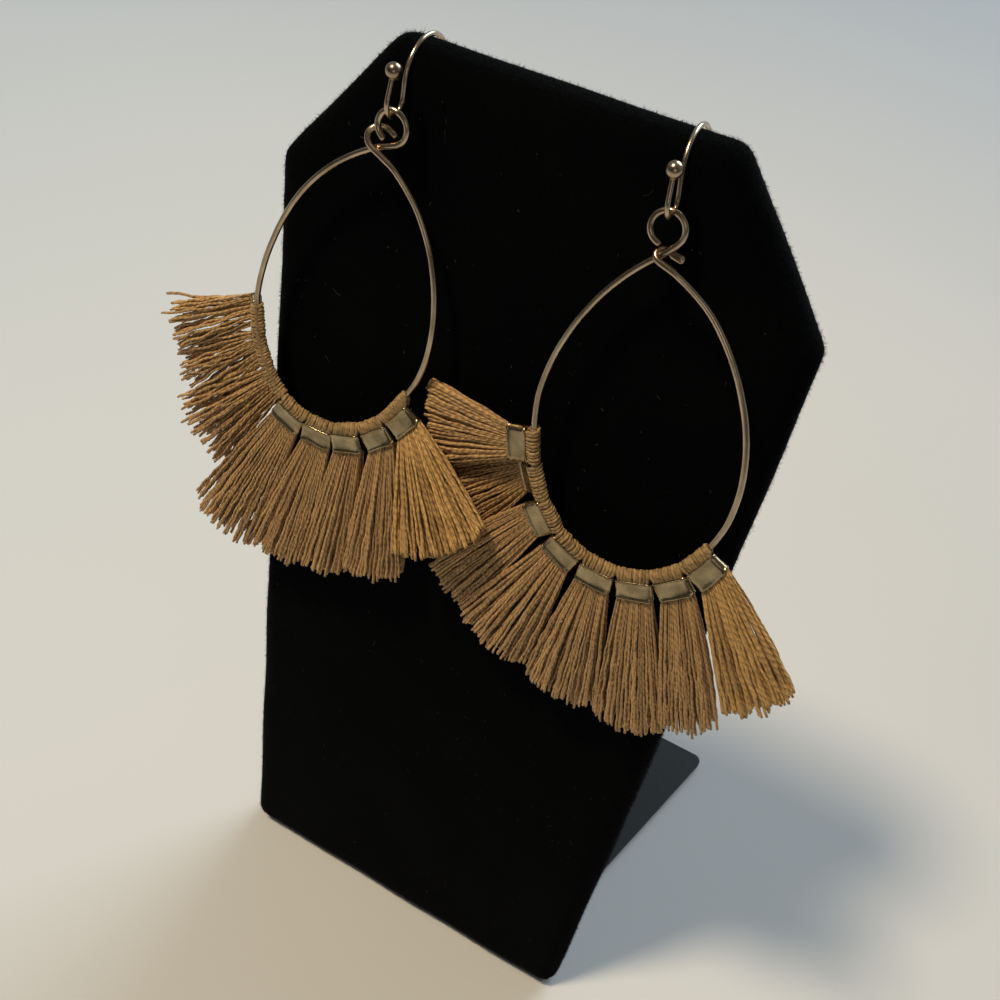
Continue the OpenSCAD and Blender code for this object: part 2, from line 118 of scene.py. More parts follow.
def remap(tree, value, low, high, start=0, end=1):
    links = {"Value": value, "From Min": low, "From Max": high, "To Min": start, "To Max": end}
    return addNode(tree, "ShaderNodeMapRange", {}, links).outputs["Result"]


def mathNode(tree, operation, first, second=0.0):
    node = addNode(tree, "ShaderNodeMath", {"operation": operation}, {0: first, 1: second})
    return node.outputs[0]


def objectPlace(tree):
    return addNode(tree, "ShaderNodeTexCoord").outputs["Object"]


def noiseOf(tree, place, scale, detail):
    node = addNode(tree, "ShaderNodeTexNoise", {}, {"Vector": place, "Scale": scale, "Detail": detail})
    return node.outputs[0]


def bumpFrom(tree, shader, height, strength, distance):
    node = addNode(tree, "ShaderNodeBump", {}, {"Strength": strength, "Distance": distance, "Height": height})
    tree.links.new(node.outputs[0], shader.inputs["Normal"])


# Two plies twisted together: slanting grooves along the thread with painted shade in them, and a tone for each thread,
# which on the fans also carries a painted highlight on some locks
plyLook = {"grooveShadeShare": 0.4, "toneShare": 0.58, "fibreScale": 2600.0, "stainScale": 260.0, "fibreHeight": 0.35}
plyGroup, plyIn, plyOut = newGroup("twistedPly", [
    ("Light", "NodeSocketColor", (0.6, 0.4, 0.2, 1)), ("Dark", "NodeSocketColor", (0.3, 0.17, 0.07, 1)),
    ("Turns", "NodeSocketFloat", 1.5)],
    [("Colour", "NodeSocketColor"), ("Height", "NodeSocketFloat"), ("Roughness", "NodeSocketFloat")])
uvNode = addNode(plyGroup, "ShaderNodeUVMap", {"uv_map": "threadUv"})
uvSplit = addNode(plyGroup, "ShaderNodeSeparateXYZ", {}, {0: uvNode.outputs[0]})
along = mathNode(plyGroup, "MULTIPLY", uvSplit.outputs[1], plyIn.outputs["Turns"])
phase = mathNode(plyGroup, "ADD", mathNode(plyGroup, "MULTIPLY", uvSplit.outputs[0], 2.0), along)
ply = mathNode(plyGroup, "ABSOLUTE", mathNode(plyGroup, "SINE", mathNode(plyGroup, "MULTIPLY", phase, math.pi)))
grooveShadeMask = remap(plyGroup, ply, 0.0, 0.6)
toneNode = addNode(plyGroup, "ShaderNodeAttribute", {"attribute_name": "tone"})
plyPlace = objectPlace(plyGroup)
fibre = noiseOf(plyGroup, plyPlace, plyLook["fibreScale"], 2.0)
stain = noiseOf(plyGroup, plyPlace, plyLook["stainScale"], 2.0)
# Painted shade: the grooves between the plies are mixed towards the dark colour
paintedGrooveShade = mathNode(plyGroup, "MULTIPLY", grooveShadeMask, plyLook["grooveShadeShare"])
toneShade = mathNode(plyGroup, "MULTIPLY", toneNode.outputs["Fac"], plyLook["toneShare"])
shadeSum = mathNode(plyGroup, "ADD", paintedGrooveShade, toneShade)
shadeSum = mathNode(plyGroup, "ADD", shadeSum, remap(plyGroup, fibre, 0.3, 0.7, -0.1, 0.14))
shadeSum = mathNode(plyGroup, "ADD", shadeSum, remap(plyGroup, stain, 0.3, 0.7, -0.1, 0.1))
shade = addNode(plyGroup, "ShaderNodeClamp", {}, {"Value": shadeSum}).outputs[0]
plyColour = mixColour(plyGroup, shade, plyIn.outputs["Dark"], plyIn.outputs["Light"])
plyHeight = mathNode(plyGroup, "ADD", ply, mathNode(plyGroup, "MULTIPLY", fibre, plyLook["fibreHeight"]))
plyGroup.links.new(plyColour, plyOut.inputs["Colour"])
plyGroup.links.new(plyHeight, plyOut.inputs["Height"])
plyGroup.links.new(remap(plyGroup, fibre, 0.3, 0.7, 0.5, 0.72), plyOut.inputs["Roughness"])

# Plated metal: a slow change of tone, darker where it has dulled, and a fine speckle
platingLook = {"speckScale": 4200.0, "speckRoughness": 0.14, "patchHeight": 2.0}
platingGroup, platingIn, platingOut = newGroup("platedMetal", [
    ("Bright", "NodeSocketColor", (0.7, 0.5, 0.4, 1)), ("Dull", "NodeSocketColor", (0.3, 0.2, 0.15, 1)),
    ("Polish", "NodeSocketFloat", 0.2), ("Patch", "NodeSocketFloat", 300.0)],
    [("Colour", "NodeSocketColor"), ("Roughness", "NodeSocketFloat"), ("Height", "NodeSocketFloat")])
platingPlace = objectPlace(platingGroup)
patch = noiseOf(platingGroup, platingPlace, platingIn.outputs["Patch"], 3.0)
speck = noiseOf(platingGroup, platingPlace, platingLook["speckScale"], 2.0)
dull = remap(platingGroup, patch, 0.38, 0.68)
platingColour = mixColour(platingGroup, dull, platingIn.outputs["Bright"], platingIn.outputs["Dull"])
speckRough = mathNode(platingGroup, "MULTIPLY", speck, platingLook["speckRoughness"])
platingRough = mathNode(platingGroup, "ADD", platingIn.outputs["Polish"], speckRough)
platingRise = mathNode(platingGroup, "MULTIPLY", patch, platingLook["patchHeight"])
platingGroup.links.new(platingColour, platingOut.inputs["Colour"])
platingGroup.links.new(platingRough, platingOut.inputs["Roughness"])
platingGroup.links.new(mathNode(platingGroup, "ADD", speck, platingRise), platingOut.inputs["Height"])


def newMaterial(name, settings, group=None, groupInputs=None, bump=(0.2, 0.00005)):
    material = bpy.data.materials.new(name)
    material.use_nodes = True
    tree = material.node_tree
    shader = tree.nodes["Principled BSDF"]
    for key, value in settings.items():
        shader.inputs[key].default_value = value
    if group:
        node = addNode(tree, "ShaderNodeGroup", {"node_tree": group}, groupInputs)
        tree.links.new(node.outputs["Colour"], shader.inputs["Base Color"])
        tree.links.new(node.outputs["Roughness"], shader.inputs["Roughness"])
        bumpFrom(tree, shader, node.outputs["Height"], *bump)
    return material


threadSheen = {"Sheen Weight": 0.15, "Sheen Roughness": 0.45, "Sheen Tint": (1, 0.82, 0.6, 1),
               "Specular IOR Level": 0.35}
tasselMaterial = newMaterial("tasselThread", threadSheen, plyGroup, {
    "Light": (0.66, 0.4, 0.165, 1), "Dark": (0.2, 0.1, 0.033, 1), "Turns": 0.9}, bump=(0.8, 0.0001))
# A lighter, more golden copy of the thread colours for each side's last fan: painted light
litGoldenMaterial = newMaterial("tasselThreadLitGolden", threadSheen, plyGroup, {
    "Light": (0.76, 0.46, 0.165, 1), "Dark": (0.25, 0.125, 0.036, 1), "Turns": 0.9}, bump=(0.8, 0.0001))
# The wraps are the tassels' own threads, given a darker copy of their colours: painted shade on the folds
shadedWrapMaterial = newMaterial("wrapThreadShaded", threadSheen, plyGroup, {
    "Light": (0.47, 0.3, 0.125, 1), "Dark": (0.16, 0.09, 0.034, 1), "Turns": 1.3}, bump=(0.5, 0.0001))
wireMaterial = newMaterial("wireGold", {"Metallic": 1.0}, platingGroup, {
    "Bright": (0.6, 0.46, 0.31, 1), "Dull": (0.37, 0.275, 0.175, 1), "Polish": 0.17, "Patch": 260.0},
    bump=(0.12, 0.00002))
clampMaterial = newMaterial("clampGold", {"Metallic": 1.0}, platingGroup, {
    "Bright": (0.44, 0.345, 0.195, 1), "Dull": (0.27, 0.2, 0.105, 1), "Polish": 0.19, "Patch": 420.0},
    bump=(0.15, 0.00003))

# Velvet: nearly black, lighter at grazing angles, with brushed patches
velvetLook = {"deep": (0.0007, 0.0011, 0.0013, 1), "brushed": (0.0016, 0.002, 0.0021, 1),
              "patchScale": 60.0, "tuftScale": 2400.0, "tuftBump": 0.6, "tuftHeight": 0.0003}
velvetMaterial = newMaterial("velvet", {
    "Roughness": 0.95, "Specular IOR Level": 0.03, "Sheen Weight": 0.02, "Sheen Roughness": 0.35,
    "Sheen Tint": (0.7, 0.8, 0.9, 1)})
velvetTree = velvetMaterial.node_tree
velvetShader = velvetTree.nodes["Principled BSDF"]
velvetPlace = objectPlace(velvetTree)
brushed = remap(velvetTree, noiseOf(velvetTree, velvetPlace, velvetLook["patchScale"], 4.0), 0.35, 0.7)
tuft = noiseOf(velvetTree, velvetPlace, velvetLook["tuftScale"], 3.0)
velvetColour = mixColour(velvetTree, brushed, velvetLook["deep"], velvetLook["brushed"])
velvetTree.links.new(velvetColour, velvetShader.inputs["Base Color"])
bumpFrom(velvetTree, velvetShader, tuft, velvetLook["tuftBump"], velvetLook["tuftHeight"])

pileMaterial = newMaterial("velvetPile", {
    "Base Color": (0.0016, 0.0021, 0.0024, 1), "Roughness": 0.95, "Specular IOR Level": 0})

# Lint: from nearly as dark as the velvet to grey
lintLook = {"dark": (0.006, 0.007, 0.008, 1), "light": (0.06, 0.065, 0.07, 1)}
lintMaterial = newMaterial("lint", {"Roughness": 0.9, "Specular IOR Level": 0.1})
lintTree = lintMaterial.node_tree
lintTone = addNode(lintTree, "ShaderNodeAttribute", {"attribute_name": "tone"}).outputs["Fac"]
lintColour = mixColour(lintTree, lintTone, lintLook["dark"], lintLook["light"])
lintTree.links.new(lintColour, lintTree.nodes["Principled BSDF"].inputs["Base Color"])

# Foot sheet: dark green-grey, with a fine grain
footLook = {"dark": (0.011, 0.0145, 0.014, 1), "light": (0.016, 0.02, 0.0195, 1), "grainScale": 900.0,
            "cloudScale": 40.0, "grainBump": 0.2, "grainHeight": 0.00008}
footMaterial = newMaterial("footSheet", {"Specular IOR Level": 0.4})
footTree = footMaterial.node_tree
footShader = footTree.nodes["Principled BSDF"]
footPlace = objectPlace(footTree)
grain = noiseOf(footTree, footPlace, footLook["grainScale"], 4.0)
cloud = remap(footTree, noiseOf(footTree, footPlace, footLook["cloudScale"], 3.0), 0.3, 0.7)
footColour = mixColour(footTree, cloud, footLook["dark"], footLook["light"])
footTree.links.new(footColour, footShader.inputs["Base Color"])
footTree.links.new(remap(footTree, grain, 0.3, 0.7, 0.42, 0.6), footShader.inputs["Roughness"])
bumpFrom(footTree, footShader, grain, footLook["grainBump"], footLook["grainHeight"])
print("materials ready")


# Mesh building. A shell is a dictionary of points in face mm, quads, tris, a place on the thread for
# each corner of a face, and a tone for each point

def joinShells(shells):
    offset = 0
    out = {"points": [], "quads": [], "tris": [], "quadUv": [], "triUv": [], "tone": []}
    for shell in shells:
        out["points"].append(shell["points"])
        out["quads"].append(shell["quads"] + offset)
        out["tris"].append(shell["tris"] + offset)
        out["quadUv"].append(shell["quadUv"])
        out["triUv"].append(shell["triUv"])
        out["tone"].append(shell["tone"])
        offset += len(shell["points"])
    return {key: np.concatenate(value) for key, value in out.items()}


def ringsToShell(rings, tone, lengths):
    # rings is (tubes, rings, sides, 3), tone (tubes,) or (tubes, rings), lengths (tubes, rings) in mm
    tubes, count, sides, _ = rings.shape
    per = count * sides + 2
    points = np.zeros((tubes, per, 3))
    points[:, :count * sides] = rings.reshape(tubes, -1, 3)
    points[:, -2] = rings[:, 0].mean(axis=1)
    points[:, -1] = rings[:, -1].mean(axis=1)
    i, j = np.meshgrid(np.arange(count - 1), np.arange(sides), indexing="ij")
    i, j = i.ravel(), j.ravel()
    k = (j + 1) % sides
    quad = np.stack([i * sides + j, (i + 1) * sides + j, (i + 1) * sides + k, i * sides + k], axis=1)
    side = np.arange(sides)
    nextSide = (side + 1) % sides
    last = (count - 1) * sides
    caps = np.concatenate([
        np.stack([side, nextSide, np.full(sides, per - 2)], axis=1),
        np.stack([last + nextSide, last + side, np.full(sides, per - 1)], axis=1)])
    base = (np.arange(tubes) * per)[:, None, None]
    uv = np.zeros((tubes, len(quad), 4, 2))
    uv[..., 0] = np.stack([j, j, j + 1, j + 1], axis=1)[None] / sides
    uv[:, :, 0, 1] = uv[:, :, 3, 1] = lengths[:, i]
    uv[:, :, 1, 1] = uv[:, :, 2, 1] = lengths[:, i + 1]
    tone = np.broadcast_to(np.asarray(tone, float).reshape(tubes, -1), (tubes, count))
    return {
        "points": points.reshape(-1, 3),
        "quads": (quad[None] + base).reshape(-1, 4),
        "tris": (caps[None] + base).reshape(-1, 3),
        "quadUv": uv.reshape(-1, 4, 2),
        "triUv": np.zeros((tubes * len(caps), 3, 2)),
        "tone": np.concatenate([np.repeat(tone, sides, axis=1), tone[:, :1], tone[:, -1:]], axis=1).ravel(),
    }


def tubes(paths, radii, sides, tone=None):
    # paths is (tubes, rings, 3) in face mm, radii the same without the 3
    paths = np.asarray(paths, float)
    radii = np.broadcast_to(radii, paths.shape[:2])
    ways = np.gradient(paths, axis=1)
    ways /= np.linalg.norm(ways, axis=2, keepdims=True)
    normal = np.cross(ways[:, 0], np.array([0.13, 0.31, 0.94]))
    normal /= np.linalg.norm(normal, axis=1, keepdims=True)
    angle = np.arange(sides) * 2 * math.pi / sides
    rings = np.zeros(paths.shape[:2] + (sides, 3))
    for r in range(paths.shape[1]):
        way = ways[:, r]
        normal = normal - (normal * way).sum(axis=1, keepdims=True) * way
        normal /= np.linalg.norm(normal, axis=1, keepdims=True)
        second = np.cross(way, normal)
        ring = np.cos(angle)[None, :, None] * normal[:, None] + np.sin(angle)[None, :, None] * second[:, None]
        rings[:, r] = paths[:, r, None] + radii[:, r, None, None] * ring
    steps = np.linalg.norm(np.diff(paths, axis=1), axis=2)
    # Each thread's twist starts somewhere else, within 5 mm
    start = np.sin(np.arange(len(paths)) * 12.99) * 437.5 % 1 * 5
    lengths = np.concatenate([np.zeros((len(paths), 1)), np.cumsum(steps, axis=1)], axis=1) + start[:, None]
    return ringsToShell(rings, np.zeros(len(paths)) if tone is None else tone, lengths)


def makePiece(name, shell, material, nodes=()):
    mesh = bpy.data.meshes.new(name)
    points = toRow(shell["points"])
    quads, tris = shell["quads"], shell["tris"]
    mesh.vertices.add(len(points))
    mesh.vertices.foreach_set("co", points.ravel())
    corners = np.concatenate([quads.ravel(), tris.ravel()]).astype(np.int32)
    mesh.loops.add(len(corners))
    mesh.loops.foreach_set("vertex_index", corners)
    starts = np.concatenate([np.arange(len(quads)) * 4, len(quads) * 4 + np.arange(len(tris)) * 3]).astype(np.int32)
    mesh.polygons.add(len(starts))
    mesh.polygons.foreach_set("loop_start", starts)
    mesh.update(calc_edges=True)
    mesh.polygons.foreach_set("use_smooth", np.ones(len(starts), bool))
    uv = mesh.uv_layers.new(name="threadUv")
    uv.data.foreach_set("uv", np.concatenate([shell["quadUv"].ravel(), shell["triUv"].ravel()]).astype(np.float32))
    tone = mesh.attributes.new("tone", "FLOAT", "POINT")
    tone.data.foreach_set("value", shell["tone"].astype(np.float32))
    mesh.materials.append(material)
    mesh.validate()
    piece = bpy.data.objects.new(name, mesh)
    bpy.context.collection.objects.link(piece)
    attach(piece, "root")
    if nodes:
        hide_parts(*nodes)
    return piece


def arc(centre, radius, start, sweep, count):
    angle = np.radians(start + sweep * np.linspace(0, 1, count))
    return np.stack([centre[0] + radius * np.cos(angle), centre[1] + radius * np.sin(angle)], axis=1)


def resample(path, step, smooth=0):
    path = np.asarray(path, float)
    length = np.concatenate([[0], np.cumsum(np.linalg.norm(np.diff(path, axis=0), axis=1))])
    count = max(3, int(length[-1] / step) + 1)
    at = np.linspace(0, length[-1], count)
    out = np.stack([np.interp(at, length, path[:, k]) for k in range(3)], axis=1)
    for _ in range(smooth):
        out[1:-1] = (out[:-2] + 2 * out[1:-1] + out[2:]) / 4
    return out


def turned(points, degrees):
    a = math.radians(degrees)
    points = np.asarray(points, float)
    x, y = points[..., 0], points[..., 1]
    return np.stack([x * math.cos(a) - y * math.sin(a), x * math.sin(a) + y * math.cos(a)], axis=-1)


def inSpace(points, z=0.0):
    points = np.asarray(points, float)
    return np.concatenate([points, np.broadcast_to(z, points.shape[:-1])[..., None]], axis=-1)


# Each side: its ear wire's place and lean, its hoop's lean and tip, where its first clamp lies in
# pitches, how many times thicker than the wire the end behind the ring's foot is, and by how much of a
# pitch its wrap's last bunch is wider. Each fan: how its left and right edge hang in degrees from straight
# down, the shares of the full length, lift and thickness, its clamp's roll, and how loose it is. The neck
# is the wire's turn round the ring's foot: mm across the foot, along it and off the velvet. The slides say
# how many mm each clamp has slid along the wire, and how many degrees it has turned there. The bends say
# at which angles of the hoop, from level, the wire lies how many mm further out than a true curve
sides = {
    "left": {
        "place": -17.808, "hookLean": 0, "lean": -9.6, "tip": 1.5, "first": -3.58, "stub": 1, "wrapEnd": 0.3,
        "fans": [
            (-62, -53, 0.72, -0.55, 1, 50, 4), (-56, -38, 0.71, -0.5, 1, 46, 5), (-52, -31, 0.83, -0.22, 1, 42, 4),
            (-31, -15, 1.18, 0.22, 1, 0, 1.3), (-21, -7, 1.08, 0.18, 1, 0, 1), (-11, -2, 1.04, 0.18, 1, 0, 1),
            (-7, 10, 1.01, 0.2, 1, 0, 1), (13, 54, 0.74, 1.18, 0.8, 0, 1)],
        "neck": [
            (0.81, 1.34, -0.8), (1.52, 0.83, -0.95), (2.12, 0.29, -0.9), (2.44, -0.7, -0.2), (2.1, -1.6, 0.4),
            (0.84, -1.74, 0.8), (-0.01, -0.98, 0.85)],
        "slides": [(0, 0), (0, 0), (0, 0), (-0.2, 0), (-0.8, 5), (-0.8, 0), (-0.1, -4), (0.2, -6)],
        "bends": [
            (-235, 0.1), (-222, -0.2), (-210, -0.52), (-200, -0.78), (-190, -0.86), (-180, -0.64), (-170, -0.25),
            (-160, -0.22), (-145, -0.3), (-130, -0.1), (-120, 0.15), (-97, 0.15), (-88, -0.12), (-75, -0.15),
            (-65, -0.45), (-57, -0.75), (-45, -0.6), (-35, -0.6), (-22, -0.42), (-14, -0.25), (-5, 0.25),
            (2, 0.38), (32, 0.45), (42, 0.28), (54, 0)],
    },
    "right": {
        "place": 15.792, "hookLean": 8.6, "lean": 8.9, "tip": 3.2, "first": -4.49, "stub": 1.4, "wrapEnd": 0.12,
        "fans": [
            (-90, -56, 0.56, 0.06, 0.5, 4, 1.3), (-56, -28, 0.61, 0.02, 0.36, 38, 1), (-37, -23, 0.96, 0.03, 0.75, 6, 1),
            (-28, -7, 0.96, 0.12, 1, 0, 1), (-9, 9, 0.98, 0.2, 1, 0, 1), (6, 19, 1.02, 0.25, 1, 0, 1),
            (15, 25, 0.965, 0.25, 1, 0, 1), (26, 43, 0.86, 0.28, 1, 0, 1)],
        "neck": [
            (-1.88, 1.7, -0.7), (-0.96, 0.78, -0.85), (-0.1, 0.3, -0.9), (0.5, -0.1, -0.4), (0.35, -0.58, 0.2),
            (-0.16, -0.74, 0.7), (-0.66, -0.48, 0.8)],
        "slides": [(0, 0)] * 8,
        "bends": [
            (-235, -0.3), (-225, -0.45), (-215, -0.55), (-205, -0.5), (-195, -0.3), (-187, -0.08), (-178, -0.08),
            (-168, 0.1), (-158, 0.15), (-150, -0.2), (-142, -0.22), (-135, 0.1), (-110, 0.03), (-88, 0.05),
            (-60, -0.08), (-37, -0.16), (-28, -0.08), (-22, 0.05), (-14, 0.3), (-5, 0.25), (5, 0.1), (20, -0.1),
            (40, -0.07), (52, -0.34)],
    },
}

# Ear wires: leg, bend, shank, arch and straight tail, with the ball on the leg. Out from the velvet,
# and up from the middle of the arch
earWire = {"r": 0.3, "hoopOut": 2.2, "bendR": 1.7, "shank": 1.6, "legLean": 14, "leg": 3.15, "archUp": 157.1917,
           "archOut": -4.125, "archR": 4.625, "tailLean": 25, "tail": 14, "ballR": 0.95, "collar": 1.12}


def hookAt(side):
    rise = earWire["archR"] * (1 - math.cos(math.radians(side["hookLean"])))
    return np.array([side["place"], earWire["archUp"] + rise])


def earWireShell(side):
    w = earWire
    bend = arc((w["hoopOut"], -w["shank"]), w["bendR"], w["legLean"], -180 - w["legLean"], 40)
    arch = arc((w["archOut"], 0), w["archR"], 0, 180 - w["tailLean"], 60)
    la = math.radians(w["legLean"])
    legTop = bend[0] + w["leg"] * np.array([-math.sin(la), math.cos(la)])
    ta = math.radians(w["tailLean"])
    tailEnd = arch[-1] + w["tail"] * np.array([-math.sin(ta), -math.cos(ta)])

    def onHook(flat):
        up = np.stack([np.zeros(len(flat)), flat[:, 1]], axis=1)
        return inSpace(hookAt(side) + turned(up, side["hookLean"]), flat[:, 0])

    path = resample(onHook(np.concatenate([[legTop], bend, arch, [tailEnd]])), 0.2, 3)
    radii = np.full(len(path), w["r"])
    radii[-3:] = w["r"] * np.array([0.96, 0.85, 0.6])
    wire = tubes(path[None], radii[None], 20)
    # The ball, drawn out a little where it meets the leg
    polar = np.linspace(0.04, math.pi - 0.04, 26)
    axis = np.array([-math.sin(la), math.cos(la)])
    ballPath = onHook(legTop + np.cos(polar)[:, None] * w["ballR"] * axis)
    collar = np.maximum(np.sin(polar) * w["ballR"], np.where(polar > math.pi - 0.5, w["r"] * w["collar"], 0))
    return joinShells([wire, tubes(ballPath[None], collar[None], 32)])


for name, side in sides.items():
    makePiece("earWire_" + name, earWireShell(side), wireMaterial, ["ear_hook_" + name])
print("ear wires ready")


# The drop, as the part's source has it, in mm and in its own frame. Its eye is drawn on round by the
# sweep, and closes in by a share of its size
drop = {"r": 11.7, "h": 30, "turn": 23.4, "eye": 2.05, "neck": 1.55, "wire": 0.8, "linkGap": 0.08, "wrapR": 0.925,
        "clampH": 2.4, "clampGap": 0.1, "pitch": 5.45, "neckRun": 2.5, "liftRun": 9, "eyeSweep": 312,
        "eyeClose": 0.15, "eyeLift": 0.25}
hoopR = drop["wire"] / 2
turn = math.radians(drop["turn"])
sideD = (drop["h"] ** 2 - drop["r"] ** 2) / (2 * (drop["r"] + drop["h"] * math.sin(turn)))
sideR = sideD + drop["r"]
crossA = math.atan2(drop["h"] - sideD * math.sin(turn), sideD * math.cos(turn))
neckA = math.pi / 2 - crossA
neckR = drop["wire"] + drop["linkGap"]
alongNeck = np.array([math.cos(neckA), math.sin(neckA)])
acrossNeck = np.array([-math.sin(neckA), math.cos(neckA)])
crossAt = np.array([0, drop["h"]])
eyeAt = crossAt + drop["neck"] * alongNeck + drop["eye"] * acrossNeck
eyeHang = drop["eye"] - earWire["r"] - hoopR - drop["linkGap"]
clampOff = drop["wrapR"] + drop["clampGap"] + drop["clampH"] / 2
rootOff = drop["wrapR"] + 2 * drop["clampGap"] + drop["clampH"]
roundLine = drop["r"] + clampOff
sideLine = sideR + clampOff
roundHalf = roundLine * (math.pi / 2 - turn)


def dropAngle(s):
    s = np.asarray(s, float)
    middle = s / roundLine - math.pi / 2
    rising = (s - roundHalf) / sideLine - turn
    falling = (s + roundHalf) / sideLine + turn - math.pi
    return np.where(np.abs(s) <= roundHalf, middle, np.where(s > 0, rising, falling))


def dropOn(side, a):
    a = np.asarray(a, float)
    out = np.stack([np.cos(a), np.sin(a)], axis=-1)
    onRound = np.abs(a + math.pi / 2) <= math.pi / 2 - turn + 1e-9
    centreX = np.where(a > -math.pi / 2, -1, 1) * sideD * math.cos(turn)
    centre = np.stack([centreX, np.full(a.shape, sideD * math.sin(turn))], axis=-1)
    bend = np.interp(np.degrees(a), *np.array(side["bends"]).T)
    return np.where(onRound[..., None], drop["r"] * out, sideR * out + centre) + bend[..., None] * out


def toFace(side, points):
    # The hoop leans about its eye, which hangs in the ear wire's bend, and its bottom tips off the velvet
    bend = turned([0, -earWire["shank"] - earWire["bendR"]], side["hookLean"])
    eye = hookAt(side) + bend - np.array([0, eyeHang])
    tip = math.radians(side["tip"])
    points = np.asarray(points, float)
    q = turned(points[..., :2] - eyeAt, side["lean"])
    z = points[..., 2]
    return np.stack([eye[0] + q[..., 0], eye[1] + q[..., 1] * math.cos(tip) + z * math.sin(tip),
                     earWire["hoopOut"] - q[..., 1] * math.sin(tip) + z * math.cos(tip)], axis=-1)


def ease(t):
    return t * t * (3 - 2 * t)


# Hoops: turn round the ring's foot, right side, round bottom, left side, ring
def hoopPath(side):
    neck = np.array(side["neck"])
    neckOn = crossAt + neck[:, :1] * acrossNeck + neck[:, 1:2] * alongNeck
    right = np.linspace(crossA - drop["neckRun"] / sideR, -turn, 80)
    lift = neckR * ease(np.clip(1 - (crossA - right) * sideR / drop["liftRun"], 0, 1))
    bottom = np.linspace(-turn, turn - math.pi, 70)[1:-1]
    left = np.linspace(turn - math.pi, -math.pi - crossA, 90)
    t = np.linspace(0, 1, 60)
    eye = arc(eyeAt, drop["eye"], math.degrees(neckA) - 90, drop["eyeSweep"], len(t))
    eye = eyeAt + (eye - eyeAt) * (1 - drop["eyeClose"] * t[:, None] ** 3)
    route = np.concatenate([
        inSpace(neckOn, neck[:, 2]), inSpace(dropOn(side, right), lift), inSpace(dropOn(side, bottom)),
        inSpace(dropOn(side, left)), inSpace(eye, drop["eyeLift"] * t ** 2)])
    return toFace(side, resample(route, 0.2, 12))


for name, side in sides.items():
    path = hoopPath(side)
    radii = np.full(len(path), hoopR)
    radii[:2] = radii[-2:] = hoopR * 0.94
    radii[0] = radii[-1] = hoopR * 0.8
    radii[1:9] *= side["stub"]
    wire = tubes(path[None], radii[None], 20)
    makePiece("hoop_" + name + "_wire", wire, wireMaterial, ["hoop_" + name])
print("hoops ready")


def tasselFrame(side, i):
    # The wire's place at tassel i, and the ways along the wire, out from it and off the clamp's broad side
    slide, twist = side["slides"][i - 1]
    a = float(dropAngle((side["first"] + i - 1) * drop["pitch"] + slide))
    roll = math.radians(side["fans"][i - 1][5])
    way = a + math.radians(twist)
    out = np.array([math.cos(way), math.sin(way), 0])
    off = np.array([0, 0, 1])
    on = np.array([-math.sin(way), math.cos(way), 0])
    outWay = math.cos(roll) * out - math.sin(roll) * off
    return inSpace(dropOn(side, a)), on, outWay, math.sin(roll) * out + math.cos(roll) * off


# Wraps: each tassel's threads folded side by side over the wire, their legs drawn in to the clamp's mouth,
# over a thread core
wrap = {"strands": 10, "r": 0.235, "loopR": 0.6, "mouthW": 3.9, "slant": 0.2, "coreR": 0.55,
        "leg": [(2.1, 0.2), (1.6, 0.22), (1.1, 0.3), (0.75, 0.42), (0.4, 0.56)]}


def wrapShell(side, rng):
    bend = np.linspace(0, math.pi, 17)
    leg = np.array(wrap["leg"])
    loop = wrap["loopR"] * np.stack([-np.sin(bend), np.cos(bend)], axis=1)
    route = np.concatenate([leg, loop, leg[::-1] * [1, -1]])
    k = ease(np.clip(route[:, :1] / 1.2, 0, 1))
    paths, tones = [], []
    for i in range(1, 9):
        place, on, out, off = tasselFrame(side, i)
        wide = 1 + (side["wrapEnd"] if i == 8 else 0)
        count = round(wrap["strands"] * wide)
        for share in (np.arange(count) + 0.5) / count - 0.5 + rng.normal(0, 0.008, count):
            squeeze = 1 + rng.normal(0, 0.05) - 0.12 * (2 * abs(share)) ** 4
            slant = wrap["slant"] * (0.5 + rng.random()) * np.sin(route[:, 1] / wrap["loopR"] * math.pi / 2)
            at = side["first"] + i - 1 + (wide - 1) / 2 + share * wide * 0.97
            a = dropAngle(at * drop["pitch"] + slant)
            ownOut = np.stack([np.cos(a), np.sin(a), np.zeros(len(a))], axis=1)
            over = route[:, :1] * np.where(route[:, :1] < 0, squeeze, 1)
            own = inSpace(dropOn(side, a)) + over * ownOut + route[:, 1:] * squeeze * off
            inMouth = place + share * wrap["mouthW"] * on + route[:, :1] * out + route[:, 1:] * off
            paths.append(own * (1 - k) + inMouth * k)
            tones.append(np.clip(rng.normal(0.5, 0.26), 0, 1))
    strands = tubes(toFace(side, np.array(paths)), wrap["r"], 8, tones)
    s = np.linspace(side["first"] - 0.47, side["first"] + 7.47 + side["wrapEnd"], 150) * drop["pitch"]
    core = tubes(toFace(side, inSpace(dropOn(side, dropAngle(s))))[None], wrap["coreR"], 12, [0.05])
    return joinShells([strands, core])


for number, (name, side) in enumerate(sides.items()):
    thread = wrapShell(side, np.random.default_rng(seed + number))
    makePiece("wrap_" + name + "_thread", thread, shadedWrapMaterial, ["wrap_" + name])
print("wraps ready")


# Clamps: a flat band folded round the tassel's neck, its ends butted at the back, broad sides sunk
# between raised rims. The band's section is given up along the thread, in half heights, and out across
# the wall. Its last innerPoints run down the inside
clampSize = {
    "w": 5.2, "h": 2.95, "d": 1.65, "corner": 0.78, "wall": 0.3, "dish": 0.14, "seat": 0.1, "butt": 0.04, "round": 0.3,
    "up": [-1, -0.97, -0.88, -0.8, -0.74, -0.62, -0.3, 0.3, 0.62, 0.74, 0.8, 0.88, 0.97, 1, 0.9, 0.5, 0, -0.5, -0.9],
    "out": [0.1, 0.7, 1, 0.8, 0.25, 0, 0, 0, 0, 0.25, 0.8, 1, 0.7, 0.1, 0, 0, 0, 0, 0], "innerPoints": 5}


